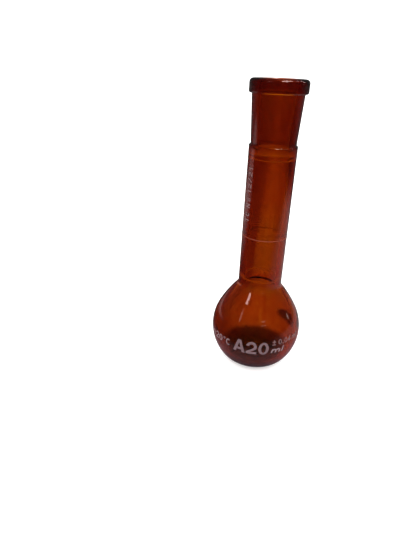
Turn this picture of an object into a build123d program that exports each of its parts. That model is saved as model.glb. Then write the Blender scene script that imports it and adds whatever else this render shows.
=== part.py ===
from build123d import *
import math
import os

# Volumetric flask for 20 ml: a blown bulb, a neck tube fused to it and a ground socket
# worked on the end of the neck, with fired-on marks. All sizes are in millimetres.
# Z is up along the flask's axis of revolution. The origin is the middle of the foot's face.
# Azimuths are in degrees, from the -Y side, positive towards +X.

# ---------------------------------------------------------------- driving dimensions
neck_r = 8.41
neck_bore_r = 6.1
bulb_seam_z = 37.5
ring_z = 54.5
step_z = 86.8
top_z = 107.5

socket_top_r = 8.72
socket_step_r = 7.85
socket_mouth_r = 6.25
socket_small_r = 5.2
ground_length = 21.0
socket_seam_z = 82.5
bore_shoulder = 2.6

rim_r = 9.78
rim_height = 4.45
rim_top_round = 1.25
rim_under_round = 0.6
rim_mouth_round = 0.5
step_round = 0.35

bulb_wall = 1.93
fillet_top_z = 35.0925
throat_corner_r = 5.0
foot_inner_r = 5.8
punt_height = 1.4
base_thick = 1.7

mark_thick = 0.06
ring_line_height = 0.22

# Outside of the bulb from the neck down, as arcs that run on smoothly from one another:
# radius, heading at the arc's end in degrees, and 1 for a turn outwards or -1 for inwards.
bulb_arcs = [
    (3.20, -49.5, 1),
    (52.0, -61.9, -1),
    (19.1, -126.6, -1),
    (8.30, -180.0, -1),
]


# ---------------------------------------------------------------- outlines
def bulb_curve(lift):
    """Arcs of the bulb's outside, moved off the glass by lift, and the point they end at."""
    x, y = neck_r + lift, fillet_top_z
    heading = -90.0
    edges = []
    for radius, end_heading, side in bulb_arcs:
        r = radius - side * lift
        across = math.radians(heading + 90 * side)
        cx = x + r * math.cos(across)
        cy = y + r * math.sin(across)
        points = []
        for part in (0.5, 1.0):
            a = math.radians(heading + (end_heading - heading) * part - 90 * side)
            points.append((cx + r * math.cos(a), cy + r * math.sin(a)))
        edges.append(ThreePointArc((x, y), points[0], points[1]))
        x, y = points[1]
        heading = end_heading
    return edges, (x, y)


def revolve_profile(edges):
    """Solid of revolution of a closed chain of edges drawn as (radius, height)."""
    face = make_face(Plane.XZ * edges)
    return revolve(face, Axis.Z)


# ---------------------------------------------------------------- glass pieces
def bulb_throat(start):
    """Bore of the neck stub, the round corner under it and the slope down to the bulb's inside."""
    slope = math.radians(-bulb_arcs[0][1])
    run = start.X - neck_bore_r - throat_corner_r * (1 - math.sin(slope))
    corner_z = start.Y + run * math.tan(slope) + throat_corner_r * math.cos(slope)
    centre_x = neck_bore_r + throat_corner_r
    points = []
    for part in (0.5, 1.0):
        a = math.pi + (math.pi / 2 - slope) * part
        points.append((centre_x + throat_corner_r * math.cos(a), corner_z + throat_corner_r * math.sin(a)))
    return [
        Line((neck_bore_r, bulb_seam_z), (neck_bore_r, corner_z)),
        ThreePointArc((neck_bore_r, corner_z), points[0], points[1]),
        Line(points[1], (start.X, start.Y)),
    ]


def bulb():
    """Bulb with its short neck stub, round heel, foot and pushed-up base."""
    outside, foot = bulb_curve(0.0)
    inside, floor = bulb_curve(-bulb_wall)
    throat = bulb_throat(inside[1] @ 0)
    lines = Curve() + [
        Line((neck_bore_r, bulb_seam_z), (neck_r, bulb_seam_z)),
        Line((neck_r, bulb_seam_z), (neck_r, fillet_top_z)),
        *outside,
        Line(foot, (foot_inner_r, foot[1])),
        Spline((foot_inner_r, foot[1]), (0, punt_height), tangents=[(-1, 0), (-1, 0)]),
        Line((0, punt_height), (0, punt_height + base_thick)),
        Spline((0, punt_height + base_thick), floor, tangents=[(1, 0), (1, 0)]),
        *inside[1:],
        *throat,
    ]
    return revolve_profile(lines)


def neck_tube():
    """Plain neck tube between the bulb's seam and the socket's seam."""
    height = socket_seam_z - bulb_seam_z
    tube = Cylinder(neck_r, height, align=(Align.CENTER, Align.CENTER, Align.MIN))
    bore = Cylinder(neck_bore_r, height, align=(Align.CENTER, Align.CENTER, Align.MIN))
    return Pos(0, 0, bulb_seam_z) * (tube - bore)


def ground_socket():
    """Socket with the stepped outside, the beaded rim and the ground 1 in 10 taper."""
    rim_low_z = top_z - rim_height
    ground_low_z = top_z - ground_length
    k = math.sqrt(0.5)
    lines = Curve() + [
        Line((neck_bore_r, socket_seam_z), (neck_r, socket_seam_z)),
        Line((neck_r, socket_seam_z), (neck_r, step_z - step_round)),
        ThreePointArc((neck_r, step_z - step_round),
                      (neck_r - step_round * (1 - k), step_z - step_round * (1 - k)),
                      (neck_r - step_round, step_z)),
        Line((neck_r - step_round, step_z), (socket_step_r, step_z + 0.15)),
        Line((socket_step_r, step_z + 0.15), (socket_top_r, rim_low_z)),
        Line((socket_top_r, rim_low_z), (rim_r - rim_under_round, rim_low_z)),
        ThreePointArc((rim_r - rim_under_round, rim_low_z),
                      (rim_r - rim_under_round * (1 - k), rim_low_z + rim_under_round * (1 - k)),
                      (rim_r, rim_low_z + rim_under_round)),
        Line((rim_r, rim_low_z + rim_under_round), (rim_r, top_z - rim_top_round)),
        ThreePointArc((rim_r, top_z - rim_top_round),
                      (rim_r - rim_top_round * (1 - k), top_z - rim_top_round * (1 - k)),
                      (rim_r - rim_top_round, top_z)),
        Line((rim_r - rim_top_round, top_z), (socket_mouth_r + rim_mouth_round, top_z)),
        ThreePointArc((socket_mouth_r + rim_mouth_round, top_z),
                      (socket_mouth_r + rim_mouth_round * (1 - k), top_z - rim_mouth_round * (1 - k)),
                      (socket_mouth_r, top_z - rim_mouth_round)),
        Line((socket_mouth_r, top_z - rim_mouth_round), (socket_small_r, ground_low_z)),
        Line((socket_small_r, ground_low_z), (neck_bore_r, ground_low_z - bore_shoulder)),
        Line((neck_bore_r, ground_low_z - bore_shoulder), (neck_bore_r, socket_seam_z)),
    ]
    return revolve_profile(lines)


def graduation_ring():
    """Thin fired-on line right round the neck at the capacity."""
    ring = Cylinder(neck_r + mark_thick, ring_line_height)
    core = Cylinder(neck_r, ring_line_height)
    return Pos(0, 0, ring_z) * (ring - core)


# ---------------------------------------------------------------- lettering
def plate(points):
    """Flat polygon through the points, always facing the same way."""
    area = 0.0
    for (ax, ay), (bx, by) in zip(points, points[1:] + points[:1]):
        area += ax * by - bx * ay
    if area < 0:
        points = points[::-1]
    return Polygon(*points, align=None)


def stroke(points, width):
    """Flat band along a chain of points, as one polygon with square ends."""
    left = []
    right = []
    last = len(points) - 1
    for i in range(len(points)):
        x, y = points[i]
        before = points[max(i - 1, 0)]
        after = points[min(i + 1, last)]
        in_angle = math.atan2(y - before[1], x - before[0])
        out_angle = math.atan2(after[1] - y, after[0] - x)
        if i == 0:
            in_angle = out_angle
        if i == last:
            out_angle = in_angle
        turn = math.remainder(out_angle - in_angle, 2 * math.pi)
        side = in_angle + turn / 2 + math.pi / 2
        reach = width / 2 / math.cos(turn / 2)
        left.append((x + reach * math.cos(side), y + reach * math.sin(side)))
        right.append((x - reach * math.cos(side), y - reach * math.sin(side)))
    return plate(left + right[::-1])


def arc_points(cx, cy, rx, ry, start, end, count=10):
    """Points on an ellipse arc from start to end, in degrees."""
    pts = []
    for i in range(count + 1):
        a = math.radians(start + (end - start) * i / count)
        pts.append((cx + rx * math.cos(a), cy + ry * math.sin(a)))
    return pts


def glyph(name, h, w, t):
    """One character of height h, width w and stroke t, with its lower left corner at 0, 0."""
    x0, x1, y0, y1 = t / 2, w - t / 2, t / 2, h - t / 2
    cx, cy = w / 2, h / 2
    if name == "0":
        return Pos(cx, cy) * (Ellipse(w / 2, h / 2) - Ellipse(w / 2 - t, h / 2 - t * 0.8))
    if name == "A":
        leg = t * 1.12
        outer = plate([(0, 0), (leg, 0), (cx, h * 0.80), (w - leg, 0), (w, 0),
                       (cx + t * 0.62, h), (cx - t * 0.62, h)])
        bar = Pos(cx, h * 0.30) * Rectangle(w * 0.55, t * 0.9)
        return outer + bar
    if name == "2":
        outer = arc_points(cx, h - w / 2, w / 2, w / 2, 172, -38, 14)
        inner = arc_points(cx, h - w / 2, w / 2 - t, w / 2 - t, 172, -38, 14)
        foot = [(t * 1.45, t), (w, t), (w, 0), (0, 0), (0, t * 0.9)]
        return plate(outer + foot + inner[::-1])
    if name == "4":
        up = Pos(w * 0.70, cy) * Rectangle(t, h)
        bar = Pos(cx, h * 0.28) * Rectangle(w, t)
        return up + bar + stroke([(w * 0.70, y1), (x0, h * 0.28)], t)
    if name == "1":
        return Pos(w * 0.62, cy) * Rectangle(t, h) + stroke([(w * 0.62, y1), (0, h * 0.70)], t)
    if name == "+-":
        bars = Pos(cx, h * 0.62) * Rectangle(w, t) + Pos(cx, h * 0.62) * Rectangle(t, h * 0.76)
        return bars + Pos(cx, t / 2) * Rectangle(w, t)
    if name == ".":
        return Pos(cx, t * 0.6) * Rectangle(t * 1.2, t * 1.2)
    if name == "o":
        ring = Circle(w / 2) - Circle(w * 0.26)
        return Pos(cx, h - w / 2) * ring
    if name == "l":
        return Pos(cx, cy) * Rectangle(t, h)
    if name == "m":
        low = h * 0.74
        r = (w - t) / 4
        left = Pos(x0, low / 2) * Rectangle(t, low)
        for i in range(2):
            c = x0 + r + 2 * r * i
            arch = arc_points(c, low - t / 2 - r, r, r, 180, 0, 8)
            left += stroke([(c - r, 0)] + arch + [(c + r, 0)], t)
        return left
    if name == "n":
        low = h * 0.68
        r = (w - t) / 2
        arch = arc_points(x0 + r, low - t / 2 - r, r, r, 180, 0, 8)
        left = Pos(x0, low / 2) * Rectangle(t, low)
        return left + stroke([(x0, 0)] + arch + [(x1, 0)], t)
    if name == "I":
        return Pos(cx, cy) * Rectangle(t, h)
    if name == "T":
        return Pos(cx, cy) * Rectangle(t, h) + Pos(cx, h - t / 2) * Rectangle(w, t)
    if name == "C":
        return stroke(arc_points(cx, cy, w / 2 - t / 2, h / 2 - t / 2, 48, 312, 16), t)
    if name == "N":
        posts = Pos(x0, cy) * Rectangle(t, h) + Pos(x1, cy) * Rectangle(t, h)
        return posts + plate([(0, h), (t * 1.25, h), (w, 0), (w - t * 1.25, 0)])
    if name == "S":
        r = h / 4 - t / 4
        up = arc_points(cx, h - t / 2 - r, w / 2 - t / 2, r, 35, 270, 10)
        low = arc_points(cx, t / 2 + r, w / 2 - t / 2, r, 90, -145, 10)
        return stroke(up + low[1:], t)
    return plate([(0, 0), (t * 1.1, 0), (w, h), (w - t * 1.1, h)])


def slanted(shape, slant):
    """Leans a flat shape over to the right by slant degrees."""
    m = math.tan(math.radians(slant))
    return shape.transform_geometry(Matrix([[1, m, 0, 0], [0, 1, 0, 0], [0, 0, 1, 0], [0, 0, 0, 1]]))


def bulb_body(lift):
    """Solid shape of the bulb's outside, swollen outwards by lift."""
    outside, foot = bulb_curve(lift)
    lines = Curve() + [
        Line((0, fillet_top_z), (neck_r + lift, fillet_top_z)),
        *outside,
        Line(foot, (0, foot[1])),
        Line((0, foot[1]), (0, fillet_top_z)),
    ]
    return revolve_profile(lines)


def neck_body(lift):
    """Solid shape of the neck's outside, swollen outwards by lift."""
    return Pos(0, 0, 60) * Cylinder(neck_r + lift, 44)


def fired_on(flat, z_turn, reach, seat_z, upright, glass, swollen):
    """Flat character laid on the glass and turned round the axis to its place.

    The cut is made at a few trial azimuths, and the first one of the right volume is kept.
    """
    wanted = flat.area * mark_thick
    for trial in (0.0, 3.0, -3.0, 7.0, -7.0, 11.0, -11.0, 17.0):
        a = math.radians(trial)
        out = (math.sin(a), -math.cos(a), 0)
        across = (0, 0, 1) if upright else (math.cos(a), math.sin(a), 0)
        seat = Plane(origin=(reach * out[0], reach * out[1], seat_z), x_dir=across, z_dir=out)
        common = extrude(seat * flat, 9) & swollen
        if not common or common.volume < wanted:
            continue
        mark = common - glass
        if 0.9 * wanted < mark.volume < 1.6 * wanted:
            return Rot(0, 0, z_turn - trial) * mark
    raise ValueError("no clean cut for a mark")


def text_round(chars, z, azimuth, h, t, slant=0):
    """Characters set round the bulb, starting at azimuth, with their feet at height z."""
    marks = []
    glass = bulb_body(0.0)
    swollen = bulb_body(mark_thick)
    base_r = 17.3
    for name, w, gap in chars:
        middle = azimuth + math.degrees((w / 2) / base_r)
        flat = Pos(-w / 2, 0) * glyph(name, h, w, t)
        if slant:
            flat = slanted(flat, slant)
        marks.append(fired_on(flat, middle, 12, z, False, glass, swollen))
        azimuth = middle + math.degrees((w / 2 + gap) / base_r)
    return marks


def text_up(chars, z, azimuth, h, t):
    """Characters set one above the other up the neck, reading from the bottom to the top."""
    marks = []
    glass = neck_body(0.0)
    swollen = neck_body(mark_thick)
    for name, w, gap in chars:
        flat = Pos(0, -h / 2) * glyph(name, h, w, t)
        marks.append(fired_on(flat, azimuth, 4, z, True, glass, swollen))
        z += w + gap
    return marks


def as_one(marks):
    """All the solids of a mark as one compound."""
    solids = []
    for mark in marks:
        solids.extend(mark.solids())
    return Compound(solids)


# ---------------------------------------------------------------- build and save
def capacity_ml():
    """Inside volume from the base up to the middle of the graduation ring."""
    glass = bulb() + neck_tube()
    block = Pos(0, 0, 0.001) * Cylinder(30, ring_z, align=(Align.CENTER, Align.CENTER, Align.MIN))
    inside = block - glass
    best = 0.0
    for solid in inside.solids():
        box = solid.bounding_box()
        if box.max.X < 18 and box.max.Z > ring_z - 1:
            best = max(best, solid.volume)
    return best / 1000.0


def main():
    os.makedirs("parts", exist_ok=True)
    nodes = {
        "bulb": bulb(),
        "neck_tube": neck_tube(),
        "ground_socket": ground_socket(),
        "graduation_ring": graduation_ring(),
        "class_mark": as_one(text_round([("A", 4.9, 0)], 11.8, -25.6, 5.5, 1.08)),
        "capacity_mark": as_one(text_round([("2", 4.1, 0.5), ("0", 4.0, 0)],
                                           11.8, -8.7, 5.5, 1.1)),
        "unit_mark": as_one(text_round([("m", 3.9, 0.45), ("l", 0.9, 0)],
                                       12.3, 22.6, 2.5, 0.62, 14)),
        "tolerance_mark": as_one(text_round([("+-", 1.5, 1.0), ("0", 1.5, 0.35), (".", 0.5, 0.35),
                                            ("0", 1.5, 0.35), ("4", 1.5, 0.9), ("m", 2.2, 0.4),
                                            ("l", 0.4, 0)], 15.8, 23.8, 2.2, 0.38)),
        "temperature_mark": as_one(text_round([("I", 0.6, 0.5), ("n", 1.7, 1.1), ("2", 1.9, 0.45),
                                              ("0", 1.9, 0.6), ("o", 0.95, 0.5), ("C", 2.1, 0)],
                                             12.8, -70.5, 2.9, 0.45)),
        "socket_size_mark": as_one(text_up([("T", 1.5, 0.65), ("C", 1.5, 1.6), ("N", 1.5, 0.65),
                                            ("S", 1.5, 1.6), ("1", 1.1, 0.65), ("2", 1.5, 0.55),
                                            ("/", 1.4, 0.55), ("2", 1.5, 0.65), ("1", 1.1, 0)],
                                           60.3, -53.0, 2.1, 0.32)),
    }
    for name, shape in nodes.items():
        export_step(shape, "parts/" + name + ".step")
        box = shape.bounding_box()
        print(name, "solids", len(shape.solids()), "volume mm3", round(shape.volume, 2), "z",
              round(box.min.Z, 2), "to", round(box.max.Z, 2))
    print("capacity to the ring, ml:", round(capacity_ml(), 3))


main()
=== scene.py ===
import math

import bmesh
import bpy
from mathutils import Matrix, Vector


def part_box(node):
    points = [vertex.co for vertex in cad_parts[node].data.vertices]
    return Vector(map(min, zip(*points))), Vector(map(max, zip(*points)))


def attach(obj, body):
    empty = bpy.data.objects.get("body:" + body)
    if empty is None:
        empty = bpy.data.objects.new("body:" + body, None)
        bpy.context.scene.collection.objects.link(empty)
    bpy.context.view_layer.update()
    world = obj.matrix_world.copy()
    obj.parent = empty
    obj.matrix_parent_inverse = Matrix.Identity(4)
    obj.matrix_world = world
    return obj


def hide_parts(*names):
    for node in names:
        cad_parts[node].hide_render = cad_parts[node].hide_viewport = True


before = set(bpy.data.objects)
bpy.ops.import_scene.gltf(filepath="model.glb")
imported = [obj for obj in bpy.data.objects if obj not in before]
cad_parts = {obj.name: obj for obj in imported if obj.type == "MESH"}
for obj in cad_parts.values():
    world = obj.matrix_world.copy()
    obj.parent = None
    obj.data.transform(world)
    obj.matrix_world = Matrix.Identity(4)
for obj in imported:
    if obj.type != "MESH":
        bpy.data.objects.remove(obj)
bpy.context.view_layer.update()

MM = 0.001
SEGMENTS = 256
SEAM_GAP = 0.003 * MM

# ------------------------------------------------------------------ sizes from the frame
neck_lo, neck_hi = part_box("neck_tube")
socket_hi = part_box("ground_socket")[1]
neck_r = neck_hi[0]
rim_r = socket_hi[0]
seam_low = neck_lo[2]
seam_high = neck_hi[2]
top_z = socket_hi[2]

bore_r = 6.1 * MM
bulb_wall = 1.93 * MM
fillet_top_z = 35.0925 * MM
throat_corner_r = 5.0 * MM
foot_inner_r = 5.8 * MM
punt_height = 1.4 * MM
base_thick = 1.7 * MM
step_z = 86.8 * MM
socket_top_r = 8.72 * MM
socket_step_r = 7.85 * MM
mouth_r = 6.25 * MM
small_r = 5.2 * MM
ground_length = 21.0 * MM
bore_shoulder = 2.6 * MM
rim_height = 4.45 * MM
rim_top_round = 1.25 * MM
rim_under_round = 0.6 * MM
mouth_round = 0.5 * MM
step_round = 0.35 * MM
step_fillet = 0.16 * MM
rim_low = top_z - rim_height
ground_low = top_z - ground_length

# outside of the bulb from the neck down: radius, heading at its end in degrees, side it turns to
BULB_ARCS = [
    (3.20 * MM, -49.5, 1),
    (52.0 * MM, -61.9, -1),
    (19.1 * MM, -126.6, -1),
    (8.30 * MM, -180.0, -1),
]


# ------------------------------------------------------------------ profiles
def arc(cx, cz, r, a0, a1, n):
    """Points of an arc about (cx, cz) from a0 to a1 degrees, as (radius, height)."""
    pts = []
    for i in range(n + 1):
        a = math.radians(a0 + (a1 - a0) * i / n)
        pts.append((cx + r * math.cos(a), cz + r * math.sin(a)))
    return pts


def line(p, q, n):
    """Points along a straight run."""
    return [(p[0] + (q[0] - p[0]) * i / n, p[1] + (q[1] - p[1]) * i / n) for i in range(n + 1)]


def bulb_curve(lift):
    """Outside of the bulb from the neck to the foot, moved off the glass by lift."""
    x, z, heading = neck_r + lift, fillet_top_z, -90.0
    pts = [(x, z)]
    for radius, end, side in BULB_ARCS:
        r = radius - side * lift
        across = math.radians(heading + 90 * side)
        cx, cz = x + r * math.cos(across), z + r * math.sin(across)
        n = max(12, int(abs(end - heading) * math.radians(1) * r / (0.45 * MM)))
        pts += arc(cx, cz, r, heading - 90 * side, end - 90 * side, n)[1:]
        x, z = pts[-1]
        heading = end
    return pts


def ease(p, q, n):
    """Smooth S curve between two points that leaves and arrives level."""
    pts = []
    for i in range(n + 1):
        t = i / n
        s = t * t * (3 - 2 * t)
        pts.append((p[0] + (q[0] - p[0]) * t, p[1] + (q[1] - p[1]) * s))
    return pts


def bulb_inside():
    """Inside of the bulb from the neck's bore down, with the round corner under the bore."""
    radius, end, _ = BULB_ARCS[0]
    slope = math.radians(-end)
    reach = radius + bulb_wall
    turn = math.radians(end - 90)
    start = (neck_r + radius + reach * math.cos(turn), fillet_top_z + reach * math.sin(turn))
    run = start[0] - bore_r - throat_corner_r * (1 - math.sin(slope))
    corner_z = start[1] + run * math.tan(slope) + throat_corner_r * math.cos(slope)
    corner = arc(bore_r + throat_corner_r, corner_z, throat_corner_r, 180, 270 + end, 10)
    below = [p for p in bulb_curve(-bulb_wall) if p[1] < start[1] + 1e-9]
    return corner + line(corner[-1], start, 6)[1:] + below


def join(*runs):
    """One outline from runs of points, without doubled points where they meet."""
    pts = []
    for run in runs:
        for p in run:
            if not pts or math.dist(p, pts[-1]) >= 1e-8:
                pts.append(p)
    return pts


def revolve(name, outline, material, closed):
    """Mesh of revolution round Z. Points on the axis become poles. A closed outline is the
    section of a ring."""
    bm = bmesh.new()
    rings = []
    for r, z in outline:
        if r < 1e-7:
            rings.append([bm.verts.new((0, 0, z))])
            continue
        ring = []
        for k in range(SEGMENTS):
            a = 2 * math.pi * k / SEGMENTS
            ring.append(bm.verts.new((r * math.sin(a), -r * math.cos(a), z)))
        rings.append(ring)
    pairs = list(zip(range(len(rings) - 1), range(1, len(rings))))
    if closed:
        pairs.append((len(rings) - 1, 0))
    for i, j in pairs:
        a, b = rings[i], rings[j]
        for k in range(SEGMENTS):
            n = (k + 1) % SEGMENTS
            if len(a) == 1 and len(b) == 1:
                continue
            if len(a) == 1:
                f = bm.faces.new((a[0], b[n], b[k]))
            elif len(b) == 1:
                f = bm.faces.new((a[k], a[n], b[0]))
            else:
                f = bm.faces.new((a[k], a[n], b[n], b[k]))
            f.smooth = True
    bmesh.ops.recalc_face_normals(bm, faces=bm.faces)
    if bm.calc_volume(signed=True) < 0:
        bmesh.ops.reverse_faces(bm, faces=bm.faces)
    me = bpy.data.meshes.new(name)
    bm.to_mesh(me)
    bm.free()
    me.set_sharp_from_angle(angle=math.radians(38))
    ob = bpy.data.objects.new(name, me)
    bpy.context.scene.collection.objects.link(ob)
    me.materials.append(material)
    return ob


# ------------------------------------------------------------------ node helpers
def new_material(name):
    mat = bpy.data.materials.new(name)
    mat.use_nodes = True
    nt = mat.node_tree
    nt.nodes.clear()
    out = nt.nodes.new("ShaderNodeOutputMaterial")
    return mat, nt, out


def noise(nt, coord, scale, detail=2.0, rough=0.5, stretch=None):
    """Noise on object coordinates, stretched along an axis if asked."""
    src = coord
    if stretch:
        mp = nt.nodes.new("ShaderNodeMapping")
        mp.inputs["Scale"].default_value = stretch
        nt.links.new(coord, mp.inputs["Vector"])
        src = mp.outputs["Vector"]
    n = nt.nodes.new("ShaderNodeTexNoise")
    n.inputs["Scale"].default_value = scale
    n.inputs["Detail"].default_value = detail
    n.inputs["Roughness"].default_value = rough
    nt.links.new(src, n.inputs["Vector"])
    return n.outputs["Fac"]


def remap(nt, value, lo, hi, out_lo, out_hi):
    m = nt.nodes.new("ShaderNodeMapRange")
    m.inputs["From Min"].default_value = lo
    m.inputs["From Max"].default_value = hi
    m.inputs["To Min"].default_value = out_lo
    m.inputs["To Max"].default_value = out_hi
    nt.links.new(value, m.inputs["Value"])
    return m.outputs["Result"]


def bump(nt, height, strength, distance):
    b = nt.nodes.new("ShaderNodeBump")
    b.inputs["Strength"].default_value = strength
    b.inputs["Distance"].default_value = distance
    nt.links.new(height, b.inputs["Height"])
    return b.outputs["Normal"]


def blend(nt, share, a, b):
    """Colour mix by share. a and b are sockets or plain colours."""
    m = nt.nodes.new("ShaderNodeMixRGB")
    for into, value in ((m.inputs["Fac"], share), (m.inputs["Color1"], a), (m.inputs["Color2"], b)):
        if isinstance(value, tuple):
            into.default_value = (*value, 1)
        else:
            nt.links.new(value, into)
    return m.outputs["Color"]


def maths(nt, operation, a, b):
    """Math node on two sockets or plain numbers."""
    m = nt.nodes.new("ShaderNodeMath")
    m.operation = operation
    for into, value in zip(m.inputs, (a, b)):
        if isinstance(value, (int, float)):
            into.default_value = value
        else:
            nt.links.new(value, into)
    return m.outputs["Value"]


def choose(nt, share, a, b):
    """Mix of two values by share."""
    m = nt.nodes.new("ShaderNodeMix")
    nt.links.new(share, m.inputs["Factor"])
    nt.links.new(a, m.inputs["A"])
    nt.links.new(b, m.inputs["B"])
    return m.outputs["Result"]


def mirror_rays(nt):
    """1 for rays that have just bounced off a shiny surface, 0 for all others."""
    lp = nt.nodes.new("ShaderNodeLightPath")
    m = nt.nodes.new("ShaderNodeMath")
    m.operation = "SUBTRACT"
    m.use_clamp = True
    nt.links.new(lp.outputs["Is Glossy Ray"], m.inputs[0])
    nt.links.new(lp.outputs["Is Transmission Ray"], m.inputs[1])
    return m.outputs["Value"]


# ------------------------------------------------------------------ materials
GLASS_IOR = 1.474
ABSORB_COLOUR = (0.85, 0.655, 0.0, 1.0)
ABSORB_DENSITY = 1930.0
TINT_DARK = (0.66, 0.54, 0.45)
TINT_LIGHT = (0.78, 0.68, 0.50)
TINT_CORD = (0.82, 0.95, 0.50)
GROUND_ROUGH = (0.12, 0.20)
PAINTED_FLOOR_GLOW = 0.4


def from_axis(nt, coord):
    """Distance from the flask's axis."""
    flat = nt.nodes.new("ShaderNodeVectorMath")
    flat.operation = "MULTIPLY"
    flat.inputs[1].default_value = (1, 1, 0)
    nt.links.new(coord, flat.inputs[0])
    far = nt.nodes.new("ShaderNodeVectorMath")
    far.operation = "LENGTH"
    nt.links.new(flat.outputs["Vector"], far.inputs[0])
    return far.outputs["Value"]


def ground_share(nt, coord):
    """1 on the ground taper inside the socket, 0 elsewhere, from the place on the glass."""
    xyz = nt.nodes.new("ShaderNodeSeparateXYZ")
    nt.links.new(coord, xyz.inputs["Vector"])
    inside = remap(nt, from_axis(nt, coord), mouth_r + 0.05 * MM, mouth_r + 0.25 * MM, 1.0, 0.0)
    above = remap(nt, xyz.outputs["Z"], ground_low, ground_low + 0.3 * MM, 0.0, 1.0)
    below = remap(nt, xyz.outputs["Z"], top_z - 0.8 * MM, top_z - 0.4 * MM, 1.0, 0.0)
    return maths(nt, "MULTIPLY", inside, maths(nt, "MULTIPLY", above, below))


def amber_glass(name, ground):
    """Fire-polished amber glass with faint draw lines. With ground, the taper inside the socket
    is matt, with fine turning marks."""
    mat, nt, out = new_material(name)
    p = nt.nodes.new("ShaderNodeBsdfPrincipled")
    p.inputs["Transmission Weight"].default_value = 1.0
    p.inputs["IOR"].default_value = GLASS_IOR
    tc = nt.nodes.new("ShaderNodeTexCoord").outputs["Object"]
    drawn = noise(nt, tc, 420.0, 3.0, 0.55, (1.0, 1.0, 0.03))
    streaks = remap(nt, drawn, 0.36, 0.66, 0.0, 1.0)
    cords = remap(nt, noise(nt, tc, 300.0, 1.0, 0.5, (1.0, 1.0, 0.01)), 0.60, 0.70, 0.0, 1.0)
    tint = blend(nt, cords, blend(nt, streaks, TINT_DARK, TINT_LIGHT), TINT_CORD)
    nt.links.new(tint, p.inputs["Base Color"])
    waves = noise(nt, tc, 240.0, 2.0, 0.5, (1.0, 1.0, 0.02))
    nt.links.new(bump(nt, waves, 0.10, 0.0004), p.inputs["Normal"])
    haze = noise(nt, tc, 400.0, 4.0, 0.6)
    rough = remap(nt, haze, 0.45, 0.75, 0.0, 0.05)
    if ground:
        turns = noise(nt, tc, 260.0, 3.0, 0.6, (0.06, 0.06, 6.0))
        matt = remap(nt, turns, 0.3, 0.7, GROUND_ROUGH[0], GROUND_ROUGH[1])
        rough = choose(nt, ground_share(nt, tc), rough, matt)
    nt.links.new(rough, p.inputs["Roughness"])
    nt.links.new(p.outputs["BSDF"], out.inputs["Surface"])
    v = nt.nodes.new("ShaderNodeVolumeAbsorption")
    v.inputs["Color"].default_value = ABSORB_COLOUR
    v.inputs["Density"].default_value = ABSORB_DENSITY
    nt.links.new(v.outputs["Volume"], out.inputs["Volume"])
    return mat


def enamel(name, thin, thick):
    """Fired-on enamel: matt, a little thin and uneven, from one colour to the other."""
    mat, nt, out = new_material(name)
    p = nt.nodes.new("ShaderNodeBsdfPrincipled")
    tc = nt.nodes.new("ShaderNodeTexCoord").outputs["Object"]
    cloud = noise(nt, tc, 900.0, 3.0, 0.6)
    ramp = nt.nodes.new("ShaderNodeValToRGB")
    ramp.color_ramp.elements[0].position = 0.30
    ramp.color_ramp.elements[0].color = (*thin, 1)
    ramp.color_ramp.elements[1].position = 0.70
    ramp.color_ramp.elements[1].color = (*thick, 1)
    nt.links.new(cloud, ramp.inputs["Fac"])
    nt.links.new(ramp.outputs["Color"], p.inputs["Base Color"])
    nt.links.new(remap(nt, cloud, 0.3, 0.7, 0.62, 0.42), p.inputs["Roughness"])
    nt.links.new(bump(nt, noise(nt, tc, 3500.0, 2.0, 0.5), 0.25, 0.00003), p.inputs["Normal"])
    nt.links.new(p.outputs["BSDF"], out.inputs["Surface"])
    return mat


def blob(nt, coord, centre, half, soft):
    """1 inside an ellipse on the floor, fading to 0 over its soft edge."""
    near = nt.nodes.new("ShaderNodeVectorMath")
    near.operation = "SUBTRACT"
    near.inputs[1].default_value = (centre[0] * MM, centre[1] * MM, 0)
    nt.links.new(coord, near.inputs[0])
    unit = nt.nodes.new("ShaderNodeVectorMath")
    unit.operation = "MULTIPLY"
    unit.inputs[1].default_value = (1 / (half[0] * MM), 1 / (half[1] * MM), 0)
    nt.links.new(near.outputs["Vector"], unit.inputs[0])
    far = nt.nodes.new("ShaderNodeVectorMath")
    far.operation = "LENGTH"
    nt.links.new(unit.outputs["Vector"], far.inputs[0])
    return remap(nt, far.outputs["Value"], 1 - soft, 1 + soft, 1.0, 0.0)


def along(nt, coord, x, y, z, lo, hi):
    """0 to 1 along a direction."""
    dot = nt.nodes.new("ShaderNodeVectorMath")
    dot.operation = "DOT_PRODUCT"
    dot.inputs[1].default_value = (x, y, z)
    nt.links.new(coord, dot.inputs[0])
    return remap(nt, dot.outputs["Value"], lo, hi, 0.0, 1.0)


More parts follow.
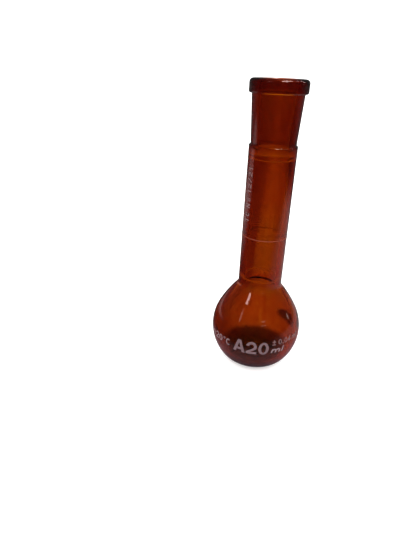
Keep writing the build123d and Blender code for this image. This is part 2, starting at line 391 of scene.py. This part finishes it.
def floor_material():
    """Whitish bench top with a painted contact shadow under the flask. What the glass shows of it
    is painted: tinted and with painted shadow by transmission, dim with lighter patches as painted
    reflection.
    """
    mat, nt, out = new_material("pale_floor")
    p = nt.nodes.new("ShaderNodeBsdfPrincipled")
    tc = nt.nodes.new("ShaderNodeTexCoord").outputs["Object"]
    bench_and_shadow = blend(nt, noise(nt, tc, 6.0, 3.0, 0.5), (0.94, 0.94, 0.94), (0.98, 0.98, 0.98))
    # painted shadow: a dark disc on the floor under the flask, as a contact shadow
    bench_and_shadow = blend(nt, blob(nt, tc, (0, 0), (10.2, 10.2), 0.16), bench_and_shadow, (0.03, 0.03, 0.03))
    lp = nt.nodes.new("ShaderNodeLightPath")
    # as seen by transmission rays the floor is painted: warm tints, darker to the left and far
    # behind, and painted shadow under and behind the flask
    through_view_painted = blend(nt, along(nt, tc, 0, 1, 0, 0.055, 0.095), (0.95, 0.50, 0.50), bench_and_shadow)
    through_view_painted = blend(nt, along(nt, tc, 0, 1, 0, 0.14, 0.24), through_view_painted, (0.92, 0.56, 0.50))
    through_view_painted = blend(nt, along(nt, tc, 0, 1, 0, 0.24, 0.60), through_view_painted, (0.66, 0.26, 0.24))
    through_view_painted = blend(nt, along(nt, tc, -1, -0.02, 0, 4 * MM, 20 * MM), through_view_painted, (0.58, 0.26, 0.30))
    through_view_painted = blend(nt, blob(nt, tc, (400, 330), (240, 210), 0.3), through_view_painted, (0.33, 0.07, 0.06))
    through_view_painted = blend(nt, blob(nt, tc, (-160, 400), (130, 240), 0.4), through_view_painted, (0.48, 0.12, 0.14))
    # painted shadow under and behind the foot, seen only by transmission rays
    through_view_painted = blend(nt, blob(nt, tc, (0.5, 9.0), (15.8, 12.0), 0.16), through_view_painted, (0.17, 0.0, 0.01))
    through_view_painted = blend(nt, blob(nt, tc, (0, -2.5), (12.8, 11.0), 0.12), through_view_painted, (0.11, 0.03, 0.035))
    # two dark patches behind and to the right, which show as a dark spot in the bulb
    through_view_painted = blend(nt, blob(nt, tc, (24.0, 39.0), (10.4, 7.8), 0.18), through_view_painted, (0.17, 0.0, 0.02))
    through_view_painted = blend(nt, blob(nt, tc, (31.0, 31.5), (12.5, 7.0), 0.18), through_view_painted, (0.17, 0.0, 0.02))
    colour = blend(nt, lp.outputs["Is Transmission Ray"], bench_and_shadow, through_view_painted)
    # as seen by mirror rays the floor is painted dim, darker towards the camera, with a few lighter
    # patches: painted reflections on the glass
    deep = along(nt, tc, 0.0, 1.0, 0, 0.0, 0.4)
    reflection_painted = blend(nt, deep, (0.015, 0.014, 0.014), (0.07, 0.06, 0.06))
    reflection_painted = blend(nt, blob(nt, tc, (-330, 120), (215, 110), 0.3), reflection_painted, (0.38, 0.30, 0.30))
    reflection_painted = blend(nt, blob(nt, tc, (130, 60), (140, 120), 0.3), reflection_painted, (0.22, 0.19, 0.19))
    reflection_painted = blend(nt, blob(nt, tc, (0, 0), (31, 31), 0.35), reflection_painted, (0.28, 0.19, 0.22))
    colour = blend(nt, mirror_rays(nt), colour, reflection_painted)
    nt.links.new(colour, p.inputs["Base Color"])
    p.inputs["Roughness"].default_value = 0.8
    p.inputs["Specular IOR Level"].default_value = 0.2
    # painted light: for camera rays only the floor glows a little, which lightens the shadow round
    # the foot
    p.inputs["Emission Color"].default_value = (1, 1, 1, 1)
    camera_only_glow = remap(nt, lp.outputs["Is Camera Ray"], 0, 1, 0.0, PAINTED_FLOOR_GLOW)
    nt.links.new(camera_only_glow, p.inputs["Emission Strength"])
    nt.links.new(p.outputs["BSDF"], out.inputs["Surface"])
    return mat


# ------------------------------------------------------------------ camera
CAMERA_PITCH, CAMERA_YAW, CAMERA_ROLL = 26.16, 7.98, 2.22
CAMERA_PLACE = (0, -153.6 * MM, 110.9 * MM)
CAMERA_SENSOR = 36.0
CAMERA_LENS = 28.145454545454545


def make_camera():
    """Camera above and in front of the flask. Angles are in degrees, sensor and lens in mm."""
    pitch, yaw, roll = (math.radians(a) for a in (CAMERA_PITCH, CAMERA_YAW, CAMERA_ROLL))
    level = math.cos(pitch)
    fwd = Vector((-math.sin(yaw) * level, math.cos(yaw) * level, -math.sin(pitch)))
    right = Vector((math.cos(yaw), math.sin(yaw), 0))
    down = fwd.cross(right)
    c, s = math.cos(roll), math.sin(roll)
    across = right * c - down * s
    up = -(right * s + down * c)
    m = Matrix((across, up, -fwd)).transposed().to_4x4()
    m.translation = Vector(CAMERA_PLACE)
    data = bpy.data.cameras.new("camera")
    data.sensor_width = CAMERA_SENSOR
    data.lens = CAMERA_LENS
    data.clip_start = 0.005
    data.clip_end = 20
    cam = bpy.data.objects.new("camera", data)
    cam.matrix_world = m
    bpy.context.scene.collection.objects.link(cam)
    bpy.context.scene.camera = cam


make_camera()

# ------------------------------------------------------------------ glass pieces
clear = amber_glass("amber_glass", False)
inside = bulb_inside()
foot = bulb_curve(0.0)[-1]

bulb = revolve("glass_bulb", join(
    [(0.0, punt_height)],
    ease((0.0, punt_height), (foot_inner_r, 0.0), 24),
    line((foot_inner_r, 0.0), foot, 3),
    bulb_curve(0.0)[::-1],
    line((neck_r, fillet_top_z), (neck_r, seam_low - SEAM_GAP), 4),
    line((neck_r, seam_low - SEAM_GAP), (bore_r, seam_low - SEAM_GAP), 2),
    line((bore_r, seam_low - SEAM_GAP), inside[0], 3),
    inside,
    ease(inside[-1], (0.0, punt_height + base_thick), 24),
), clear, False)

neck = revolve("glass_neck", join(
    line((neck_r, seam_low + SEAM_GAP), (neck_r, seam_high - SEAM_GAP), 60),
    line((neck_r, seam_high - SEAM_GAP), (bore_r, seam_high - SEAM_GAP), 2),
    line((bore_r, seam_high - SEAM_GAP), (bore_r, seam_low + SEAM_GAP), 60),
), clear, True)

socket = revolve("glass_socket", join(
    line((neck_r, seam_high + SEAM_GAP), (neck_r, step_z - step_round), 6),
    arc(neck_r - step_round, step_z - step_round, step_round, 0, 90, 8),
    arc(socket_step_r + step_fillet, step_z + step_fillet, step_fillet, 270, 180, 5),
    line((socket_step_r, step_z + step_fillet), (socket_top_r, rim_low), 30),
    arc(rim_r - rim_under_round, rim_low + rim_under_round, rim_under_round, -90, 0, 8),
    arc(rim_r - rim_top_round, top_z - rim_top_round, rim_top_round, 0, 90, 16),
    arc(mouth_r + mouth_round, top_z - mouth_round, mouth_round, 90, 180, 8),
    line((mouth_r, top_z - mouth_round), (small_r, ground_low), 40),
    line((small_r, ground_low), (bore_r, ground_low - bore_shoulder), 8),
    line((bore_r, ground_low - bore_shoulder), (bore_r, seam_high + SEAM_GAP), 3),
), amber_glass("amber_glass_ground", True), True)

for piece, node in ((bulb, "bulb"), (neck, "neck_tube"), (socket, "ground_socket")):
    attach(piece, "root")
    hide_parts(node)

# ------------------------------------------------------------------ fired-on marks
# their shapes stay the CAD solids
bold = enamel("fired_enamel", (0.10, 0.055, 0.062), (0.165, 0.10, 0.11))
plain = enamel("fired_enamel_plain", (0.15, 0.09, 0.10), (0.225, 0.15, 0.16))
# painted shade: a darker copy of the enamel, to offset the extra light these small marks catch
fine = enamel("fired_enamel_fine_shaded", (0.108, 0.05, 0.05), (0.18, 0.095, 0.095))
line_brown = enamel("ring_enamel", (0.16, 0.025, 0.008), (0.24, 0.04, 0.012))
MARKS = {
    "graduation_ring": line_brown,
    "class_mark": bold,
    "capacity_mark": bold,
    "unit_mark": plain,
    "tolerance_mark": fine,
    "temperature_mark": plain,
    "socket_size_mark": fine,
}
for node, mat in MARKS.items():
    mesh = bpy.data.objects[node].data
    mesh.materials.clear()
    mesh.materials.append(mat)

# ------------------------------------------------------------------ floor, world and lights
me = bpy.data.meshes.new("floor")
me.from_pydata([(-3, -3, 0), (3, -3, 0), (3, 3, 0), (-3, 3, 0)], [], [(0, 1, 2, 3)])
me.materials.append(floor_material())
floor = bpy.data.objects.new("floor", me)
bpy.context.scene.collection.objects.link(floor)

world = bpy.data.worlds.new("studio")
bpy.context.scene.world = world
world.use_nodes = True
wt = world.node_tree
bg = wt.nodes["Background"]
# painted reflection: the sky is a white light to all rays but mirror rays, which see it dim and
# darker on the camera's side
aim = wt.nodes.new("ShaderNodeTexCoord").outputs["Generated"]
facing = along(wt, aim, 0.0, 1.0, 0, -0.3, 0.9)
dim_reflection_sky = blend(wt, facing, (0.03, 0.028, 0.028), (0.10, 0.085, 0.085))
wt.links.new(blend(wt, mirror_rays(wt), (1.8, 1.8, 1.8), dim_reflection_sky), bg.inputs["Color"])
bg.inputs["Strength"].default_value = 1.0


def strip(name, azimuth, low, high, width, glow, far=0.45):
    """Upright strip light that only shows as a highlight. Azimuth from the -Y side towards +X."""
    a = math.radians(azimuth)
    z0, z1 = far * math.tan(math.radians(low)), far * math.tan(math.radians(high))
    data = bpy.data.lights.new(name, "AREA")
    data.shape = "RECTANGLE"
    data.size, data.size_y = 2 * far * math.tan(math.radians(width / 2)), z1 - z0
    data.energy = glow * math.pi * data.size * data.size_y
    data.color = (1.0, 0.80, 0.80)
    ob = bpy.data.objects.new(name, data)
    ob.location = (far * math.sin(a), -far * math.cos(a), (z0 + z1) / 2 + 0.03)
    ob.rotation_euler = (math.pi / 2, 0, a)
    ob.visible_diffuse = False
    ob.visible_transmission = False
    ob.visible_camera = False
    bpy.context.scene.collection.objects.link(ob)


strip("window_high", -44, 37, 49, 9.0, 9.0)
strip("window_low", -46, 18, 31, 3.0, 2.4)
strip("lamp_right", 100, 4.9, 10.3, 3.0, 4.0, 1.2)
strip("lamp_right_high", 112, 25, 62, 6.0, 5.0)
strip("lamp_front_low", 24.6, 20.0, 21.2, 12.0, 5.0)
strip("lamp_front_high", 24.6, 24.5, 25.5, 12.0, 4.0)
strip("lamp_top", 40, 61, 76, 60, 18.0, 0.15)

bpy.context.scene.view_settings.view_transform = "Standard"
